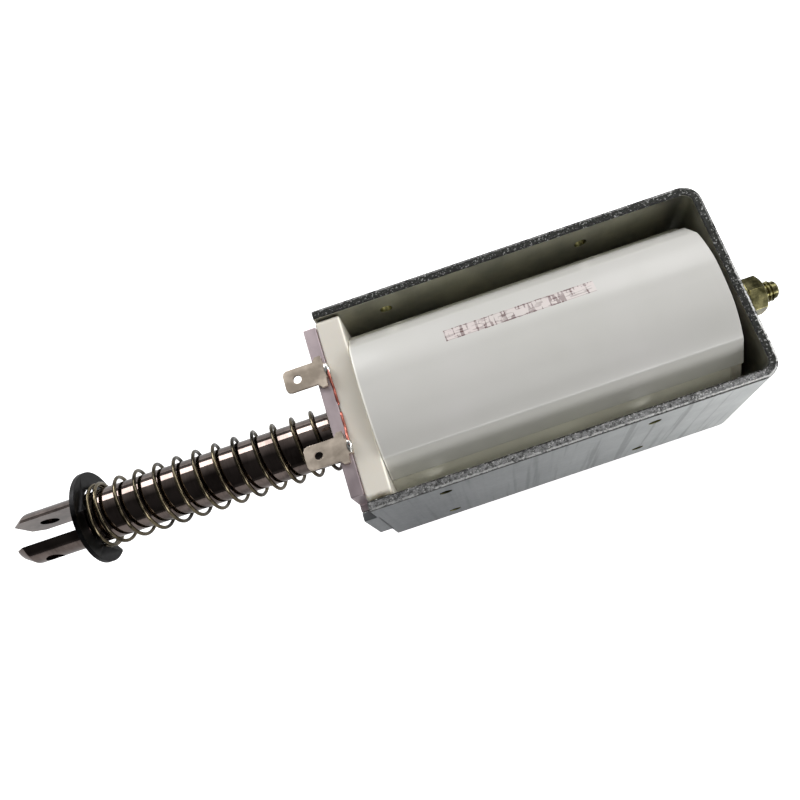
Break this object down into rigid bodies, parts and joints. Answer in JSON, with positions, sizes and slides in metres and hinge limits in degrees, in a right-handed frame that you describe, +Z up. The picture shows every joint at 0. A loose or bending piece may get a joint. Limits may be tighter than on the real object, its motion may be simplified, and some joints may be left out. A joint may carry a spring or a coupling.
{
  "type": "push pull solenoid",
  "caption": "Long open-frame push pull solenoid with a clevis plunger, return spring, push rod with stop nut, and flat tab terminals.",
  "frame": {"origin": "under the middle of the part's length, level with the lowest point of the lower coil cover", "axes": "+X along the plunger's bore towards the stop nut, +Z up towards the terminals, +Y across the frame"},
  "size_m": [0.2244, 0.056, 0.0546],
  "materials": {
    "zinc_steel": "bright zinc plate over cold rolled strip, with dark sheared edges",
    "plate_steel": "smooth bright plated plate",
    "nylon": "moulded natural nylon",
    "cover_plastic": "smooth white moulded cover",
    "white_tape": "white insulating tape",
    "copper_wire": "enamelled copper",
    "brass_tube": "drawn brass",
    "core_steel": "turned free-cutting steel",
    "nickel_steel": "ground and nickel plated",
    "yellow_zinc": "yellow zinc plate",
    "black_oxide": "black oxide on spring steel",
    "spring_steel": "oiled music wire",
    "tinned_brass": "tinned brass tab",
    "solder": "bright solder",
    "rubber": "black rubber",
    "foam_pad": "dark soft pad"
  },
  "bodies": {
    "solenoid_body": {"frame": "zinc_steel", "front_plate": "plate_steel", "bobbin": "nylon", "coil_winding": "copper_wire", "coil_wrap": "white_tape", "upper_cover": "cover_plastic", "lower_cover": "cover_plastic", "guide_sleeve": "brass_tube", "fixed_core": "core_steel", "rear_pad": "foam_pad", "core_washer": "yellow_zinc", "core_nut": "yellow_zinc", "damping_washer": "rubber", "seat_washer": "brass_tube", "return_spring": "spring_steel", "far_terminal": "tinned_brass", "near_terminal": "tinned_brass", "solder_joints": "solder", "start_lead": "copper_wire", "finish_lead": "copper_wire"},
    "plunger_assembly": {"plunger": "nickel_steel", "push_rod": "yellow_zinc", "stop_washer": "yellow_zinc", "stop_nut": "yellow_zinc", "retaining_clip": "black_oxide"}
  },
  "joints": [
    {"name": "plunger_slide", "type": "slide", "parent": "solenoid_body", "child": "plunger_assembly", "axis": [1, 0, 0], "range_m": [0, 0.045], "stiffness_N_per_m": 190, "springref_m": -0.012, "deforming": ["return_spring"]}
  ]
}
